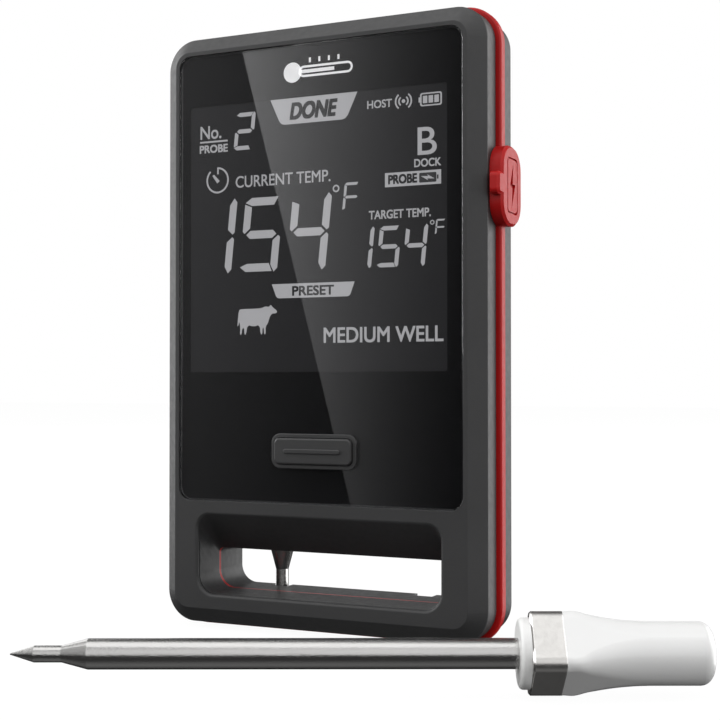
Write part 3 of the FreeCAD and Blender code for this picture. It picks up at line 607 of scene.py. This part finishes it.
def arc(cx, cz, radius, start, end, steps=24):
    """Points round a centre, angles in degrees."""
    points = []
    for step in range(steps + 1):
        angle = math.radians(start + (end - start) * step / steps)
        points.append((cx + radius * math.cos(angle), cz + radius * math.sin(angle)))
    return points


def band(cx, cz, radius, width, start, end):
    """Part of a ring."""
    outer = arc(cx, cz, radius, start, end)
    return outer + arc(cx, cz, radius - width, end, start)


def rounded_box(x0, x1, z0, z1, radius):
    points = []
    for cx, cz, start in ((x1 - radius, z0 + radius, -90), (x1 - radius, z1 - radius, 0),
                          (x0 + radius, z1 - radius, 90), (x0 + radius, z0 + radius, 180)):
        points += arc(cx, cz, radius, start, start + 90, 6)
    return points


def rectangle(x0, x1, z0, z1):
    return ((x0, z0), (x1, z0), (x1, z1), (x0, z1))


def softened(points):
    """Closed outline with each corner cut off at a quarter of its sides."""
    cut = []
    for index, (x0, z0) in enumerate(points):
        x1, z1 = points[(index + 1) % len(points)]
        cut.append((0.75 * x0 + 0.25 * x1, 0.75 * z0 + 0.25 * z1))
        cut.append((0.25 * x0 + 0.75 * x1, 0.25 * z0 + 0.75 * z1))
    return cut


def tag(sheet, top_x0, top_x1, foot_x0, foot_x1, z_top, z_foot, radius):
    """Hanging tab: a trapezoid with its two lower corners rounded."""
    lean = (foot_x0 - top_x0) / (z_top - z_foot)
    points = [(top_x0, z_top), (foot_x0 - lean * radius * 0.9, z_foot + radius * 0.9),
              (foot_x0 + radius * 0.25, z_foot + radius * 0.2), (foot_x0 + radius, z_foot)]
    mirror = top_x0 + top_x1
    drift = (foot_x0 + foot_x1) - mirror
    for x, z in reversed(points):
        points.append((mirror - x + drift * (z_top - z) / (z_top - z_foot), z))
    sheet.outline(points)


def display_figures():
    sheet = Sheet()
    digit(sheet, "2", -20.9, 20.2, 5.05, 8.6, 0.95)
    for figure, x0 in (("1", -31.5), ("5", -19.35), ("4", -7.0)):
        digit(sheet, figure, x0, -8.0, 9.95, 16.95, 1.85)
    digit(sheet, "F", 7.2, 4.5, 3.8, 6.45, 0.62)
    for figure, x0 in (("1", 9.1), ("5", 15.6), ("4", 21.9)):
        digit(sheet, figure, x0, -8.2, 5.2, 9.0, 0.95)
    digit(sheet, "F", 29.5, -1.75, 2.3, 3.45, 0.36)
    for cx, cz, radius, width in ((5.7, 9.8, 0.84, 0.34), (28.93, 1.08, 0.52, 0.22)):
        sheet.outline(arc(cx, cz, radius, 0, 345), arc(cx, cz, radius - width, 0, 345))
    sheet.layer("lcd_figures", LIT, 0)


def display_labels():
    sheet = Sheet()
    sheet.text("No.", -29.9, -24.2, 23.35, 26.45, bold=0.10)
    sheet.text("PROBE", -30.1, -22.45, 20.1, 22.0, bold=0.15)
    sheet.outline(rectangle(-30.0, -22.5, 22.5, 22.9))
    sheet.text("CURRENT TEMP.", -20.3, 4.3, 11.5, 14.2, bold=0.06)
    sheet.text("HOST", 13.4, 19.4, 26.85, 28.65, bold=0.09)
    sheet.text("B", 25.5, 30.0, 15.8, 21.8, bold=0.08)
    sheet.text("DOCK", 24.7, 31.0, 13.2, 15.0, bold=0.10)
    sheet.text("TARGET TEMP.", 13.8, 28.6, 2.4, 4.35, bold=0.10)
    sheet.text("MEDIUM WELL", 2.6, 31.5, -24.6, -21.15, bold=0.15)
    sheet.layer("lcd_labels", LIT, 0)


def display_icons():
    sheet = Sheet()
    sheet.outline(band(-25.2, 13.6, 3.05, 0.42, 132, 448))
    sheet.outline(rectangle(-25.3, -24.9, 15.0, 16.6))
    sheet.outline(((-25.3, 12.9), (-24.6, 13.4), (-26.2, 15.0), (-26.6, 14.7)))
    sheet.outline(arc(22.15, 27.85, 0.42, 0, 345))
    for radius in (1.25, 2.05):
        sheet.outline(band(22.15, 27.85, radius, 0.36, -52, 52))
        sheet.outline(band(22.15, 27.85, radius, 0.36, 128, 232))
    sheet.outline(rounded_box(26.1, 31.2, 26.3, 29.2, 0.5), rounded_box(26.45, 30.85, 26.6, 28.9, 0.3))
    sheet.outline(rectangle(25.75, 26.1, 27.2, 28.3))
    for x0 in (26.75, 28.1, 29.45):
        sheet.outline(rectangle(x0, x0 + 1.05, 26.95, 28.55))
    steer = ((0.4, 5.7), (1.0, 6.0), (4.8, 6.0), (6.5, 6.1), (7.4, 6.5), (8.4, 6.3), (8.8, 6.9),
             (9.2, 6.3), (10.6, 5.3), (10.2, 4.8), (9.1, 4.8), (8.5, 3.9), (8.1, 2.6), (7.5, 1.9),
             (7.5, 0.1), (7.1, 0.1), (7.0, 1.6), (6.7, 1.6), (6.6, 0.1), (6.2, 0.1), (5.9, 2.3),
             (4.4, 1.9), (2.7, 2.3), (2.3, 0.1), (1.9, 0.1), (1.8, 1.7), (1.3, 1.5), (1.1, 0.1),
             (0.7, 0.1), (0.8, 1.9), (0.5, 3.2), (0.25, 2.2), (0.0, 1.9), (0.15, 3.6))
    sheet.outline(softened([(x - 19.8, z - 22.5) for x, z in steer]))
    sheet.layer("lcd_icons", LIT, 0)


def display_tags():
    tags = Sheet()
    tag(tags, -11.1, 11.0, -8.4, 8.2, 31.0, 25.1, 1.0)
    tag(tags, -10.7, 10.3, -9.4, 9.1, -11.05, -14.3, 0.6)
    tags.outline(rectangle(17.7, 31.0, 9.3, 12.4))
    tags.layer("lcd_tags", LIT, 0)
    words = Sheet()
    words.text("DONE", -6.1, 6.1, 26.0, 30.0, bold=0.40, slant=0.22)
    words.text("PRESET", -5.4, 5.2, -13.85, -11.6, bold=0.16)
    words.text("PROBE", 18.5, 25.4, 9.85, 11.95, bold=0.20)
    words.outline(rounded_box(25.9, 29.9, 9.8, 11.9, 0.2))
    words.outline(rectangle(30.05, 30.4, 10.4, 11.3))
    words.layer("lcd_tag_words", DARK, 1)
    bolt = Sheet()
    bolt.outline(((26.3, 11.2), (28.0, 11.1), (27.8, 11.5), (29.5, 10.5), (27.8, 10.6), (28.0, 10.2)))
    bolt.layer("lcd_charge_bolt", LIT, 2)


def window_mark():
    """Generic pictogram of a probe thermometer, printed behind the window, its white ink given a
    painted glow.
    """
    sheet = Sheet()
    sheet.outline(rounded_box(-3.6, 10.0, 35.4, 38.0, 1.3), rounded_box(-3.1, 9.5, 35.9, 37.5, 0.8))
    sheet.outline(arc(-5.2, 36.7, 2.3, 0, 345))
    sheet.outline(rectangle(-3.4, 5.4, 36.3, 37.1))
    for x0 in (-1.0, 1.4, 3.8, 6.2):
        sheet.outline(rectangle(x0, x0 + 0.5, 38.6, 39.7))
    sheet.piece("window_mark", PAINTED_GLOW_PRINT, WINDOW_HIGH.y - 0.05 * MM)


def window_pane():
    """Clear sheet with a rounded front edge and an opening for the button."""
    low, high = WINDOW_LOW, WINDOW_HIGH
    edge = 0.2 * MM
    thick = high.y - low.y - 0.02 * MM
    gap = 0.35 * MM
    hole_x1 = BEZEL_HIGH.x - gap
    hole_z0 = BEZEL_LOW.z + gap
    hole_z1 = BEZEL_HIGH.z - gap
    loops = (rounded_box(low.x + edge, high.x - edge, low.z + edge, high.z - edge, 2.7 * MM),
             rounded_box(-hole_x1 - edge, hole_x1 + edge, hole_z0 - edge, hole_z1 + edge, 1.9 * MM))
    data = filled_curve(loops, thick / 2 - edge)
    data.bevel_depth = edge
    data.bevel_resolution = 3
    mesh = curve_mesh(data)
    mesh.transform(Matrix.Translation((0, low.y + thick / 2, 0)) @ Matrix.Rotation(math.pi / 2, 4, "X"))
    mesh.materials.clear()
    mesh.materials.append(SLOT_MATERIALS["window_acrylic"])
    pane = new_object("window_pane", mesh)
    pane.visible_shadow = False
    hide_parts("display_window")
    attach(pane, "dock")


# ---- studio ----
def floor():
    """Table that only the camera sees: it glows white and takes a trace of shadow."""
    mesh = bpy.data.meshes.new("floor")
    size = 3.0
    mesh.from_pydata([(-size, -size, 0), (size, -size, 0), (size, size, 0), (-size, size, 0)],
                     [], [(0, 1, 2, 3)])
    graph = Graph("floor")
    graph.set(Base_Color=graph.blend(graph.noise(3.0), (0.060, 0.060, 0.060), (0.065, 0.065, 0.065)),
              Roughness=0.9, Specular_IOR_Level=0.0, Emission_Color=(1, 1, 1, 1),
              Emission_Strength=0.96)
    mesh.materials.append(graph.material)
    obj = new_object("floor", mesh)
    obj.location.z = -0.1 * MM
    obj.visible_glossy = False
    obj.visible_diffuse = False
    obj.visible_transmission = False
    obj.visible_shadow = False


def reflection_card():
    """Large dim card, far in front to the left, that the polished window mirrors. Its bright
    half starts at a slanted edge and falls off to the right and downwards."""
    x0, x1, y, z0, z1 = -1.10, -0.52, -1.5, -0.30, 0.75
    mesh = bpy.data.meshes.new("reflection_card")
    mesh.from_pydata([(x0, y, z0), (x1, y, z0), (x1, y, z1), (x0, y, z1)], [], [(0, 1, 2, 3)])
    graph = Graph("reflection_card")
    split = graph.add("ShaderNodeSeparateXYZ")
    graph.feed(split.inputs[0], graph.place)
    x, z = split.outputs["X"], split.outputs["Z"]
    bright_start = graph.line(z, -0.270, -0.763)
    bright_end = graph.line(z, 0.084, -0.501)
    dim_end = -0.566
    before_end = graph.math("MAXIMUM", graph.math("SUBTRACT", bright_end, x), 0.0)
    bright = graph.math("MULTIPLY", graph.math("POWER", before_end, 2.33), 11.2)
    from_end = graph.math("MAXIMUM", graph.math("SUBTRACT", dim_end, x), 0.0)
    squared = graph.math("MULTIPLY", from_end, from_end)
    dim = graph.math("MULTIPLY", squared, graph.line(z, 1.30, 0.88))
    past_start = graph.span(graph.math("SUBTRACT", x, bright_start), 0.0, 1.0, 0.0, 0.002)
    change = graph.math("MULTIPLY", graph.math("SUBTRACT", bright, dim), past_start)
    glow = graph.add("ShaderNodeEmission")
    graph.feed(glow.inputs["Strength"], graph.math("ADD", dim, change))
    graph.feed(graph.tree.nodes["Material Output"].inputs["Surface"], glow.outputs[0])
    mesh.materials.append(graph.material)
    obj = new_object("reflection_card", mesh)
    obj.visible_camera = False
    obj.visible_diffuse = False
    obj.visible_shadow = False


camera()
world()
lights()
floor()
reflection_card()
dress_nodes()
window_pane()
window_mark()
display_figures()
display_labels()
display_icons()
display_tags()
